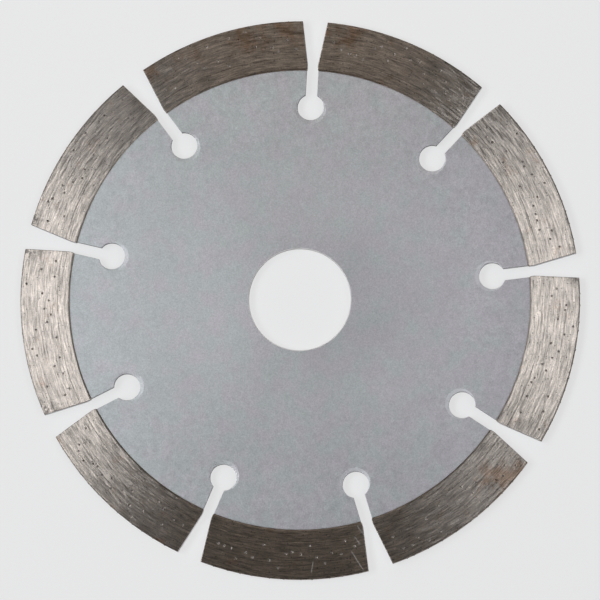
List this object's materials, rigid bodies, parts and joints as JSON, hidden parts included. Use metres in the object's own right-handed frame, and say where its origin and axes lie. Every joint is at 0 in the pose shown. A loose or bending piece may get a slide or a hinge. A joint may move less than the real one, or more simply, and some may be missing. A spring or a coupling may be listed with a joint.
{
  "type": "segmented diamond blade",
  "caption": "Flat steel disc with an arbor bore and keyhole slots, and ground diamond segments round its rim, for dry cutting of masonry and concrete.",
  "frame": {"origin": "centre of the arbor bore, at the core's mid-plane", "axes": "+Z along the bore's axis, out of the face whose keyholes have the rolled edge; +X out through the middle of a slot"},
  "size_m": [0.1099, 0.11, 0.0022],
  "materials": {
    "core_paint": "matte silver-grey paint",
    "foot_metal": "ground sintered metal",
    "bond_metal": "ground sintered metal",
    "diamond": "faceted synthetic diamond grit"
  },
  "bodies": {
    "root": {"core": "core_paint", "segment_foot_1": "foot_metal", "segment_foot_2": "foot_metal", "segment_foot_3": "foot_metal", "segment_foot_4": "foot_metal", "segment_foot_5": "foot_metal", "segment_foot_6": "foot_metal", "segment_foot_7": "foot_metal", "segment_foot_8": "foot_metal", "segment_foot_9": "foot_metal", "segment_1": "bond_metal", "segment_2": "bond_metal", "segment_3": "bond_metal", "segment_4": "bond_metal", "segment_5": "bond_metal", "segment_6": "bond_metal", "segment_7": "bond_metal", "segment_8": "bond_metal", "segment_9": "bond_metal", "diamond_grit_1": "diamond", "diamond_grit_2": "diamond", "diamond_grit_3": "diamond", "diamond_grit_4": "diamond", "diamond_grit_5": "diamond", "diamond_grit_6": "diamond", "diamond_grit_7": "diamond", "diamond_grit_8": "diamond", "diamond_grit_9": "diamond"}
  },
  "joints": []
}
